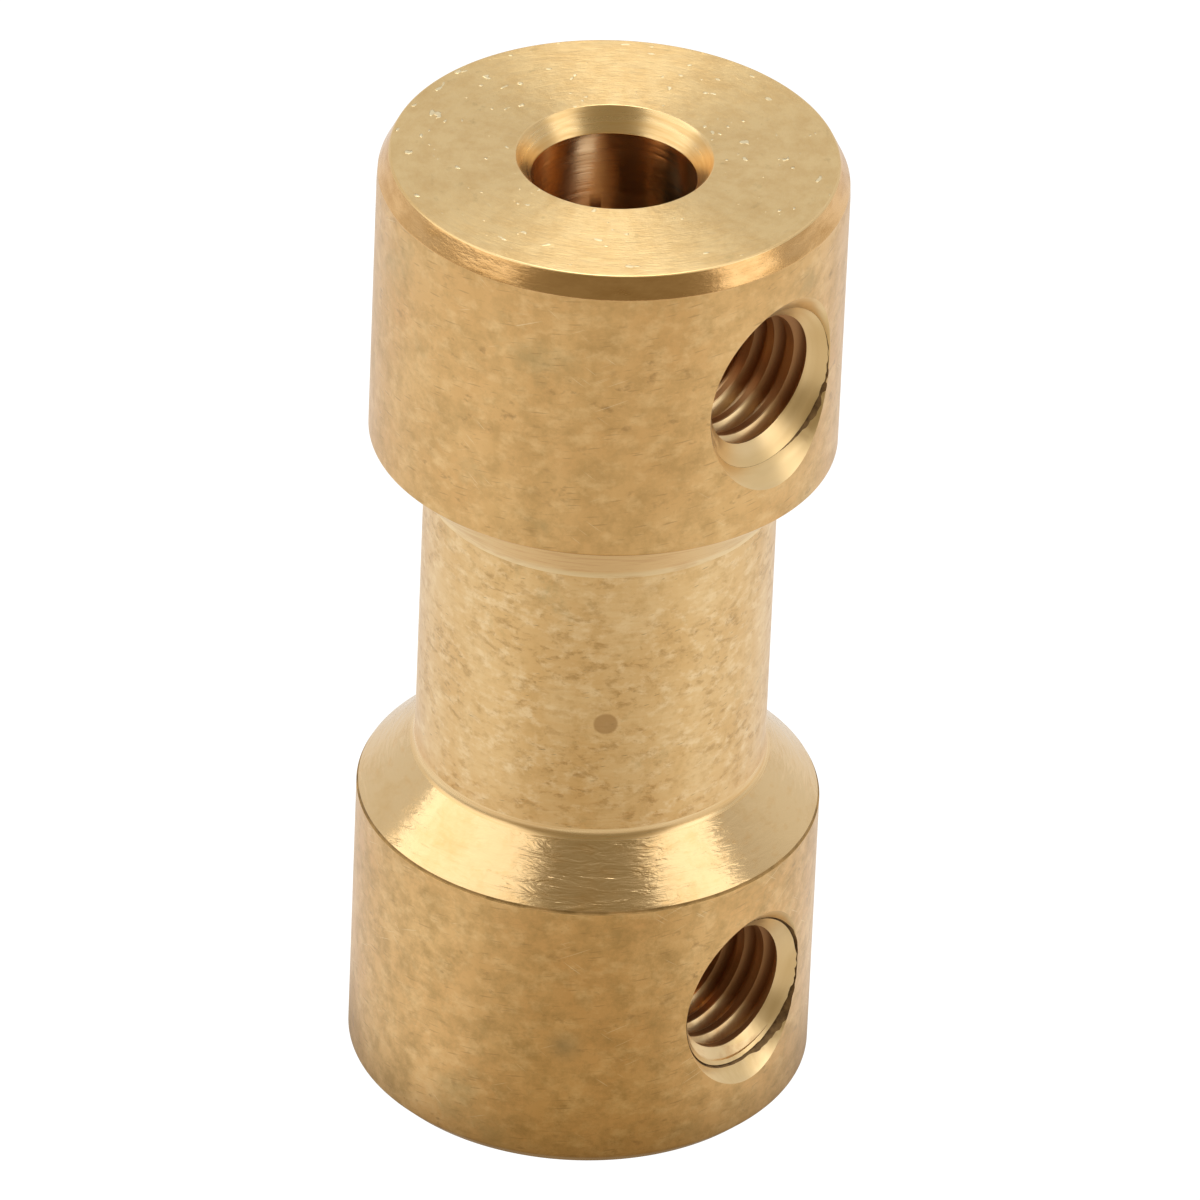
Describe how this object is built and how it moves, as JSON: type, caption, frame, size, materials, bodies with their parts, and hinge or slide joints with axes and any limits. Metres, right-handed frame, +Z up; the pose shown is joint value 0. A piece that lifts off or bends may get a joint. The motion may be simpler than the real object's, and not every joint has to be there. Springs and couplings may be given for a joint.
{
  "type": "rigid sleeve coupling",
  "caption": "Turned brass sleeve with a hub at each end, a slimmer neck and a through bore. It joins small shafts end to end and clamps them with cross-tapped set screws.",
  "frame": {"origin": "centre of the lower end face, on the shaft axis, in the plane the sleeve stands on", "axes": "+Z up the shaft axis, +X along the tapped cross holes towards the two free openings, -X towards the two set screws"},
  "size_m": [0.0091, 0.009, 0.0203],
  "materials": {
    "turned_brass": "as turned, satin, lightly patinated",
    "black_oxide_steel": "black oxide with an oiled sheen"
  },
  "bodies": {
    "sleeve": {"coupling_body": "turned_brass"},
    "lower_screw": {"lower_set_screw": "black_oxide_steel"},
    "upper_screw": {"upper_set_screw": "black_oxide_steel"}
  },
  "joints": [
    {"name": "lower_screw_travel", "type": "slide", "parent": "sleeve", "child": "lower_screw", "axis": [-1, 0, 0], "range_m": [-0.0005, 0.003]},
    {"name": "upper_screw_travel", "type": "slide", "parent": "sleeve", "child": "upper_screw", "axis": [-1, 0, 0], "range_m": [-0.0005, 0.003]}
  ]
}
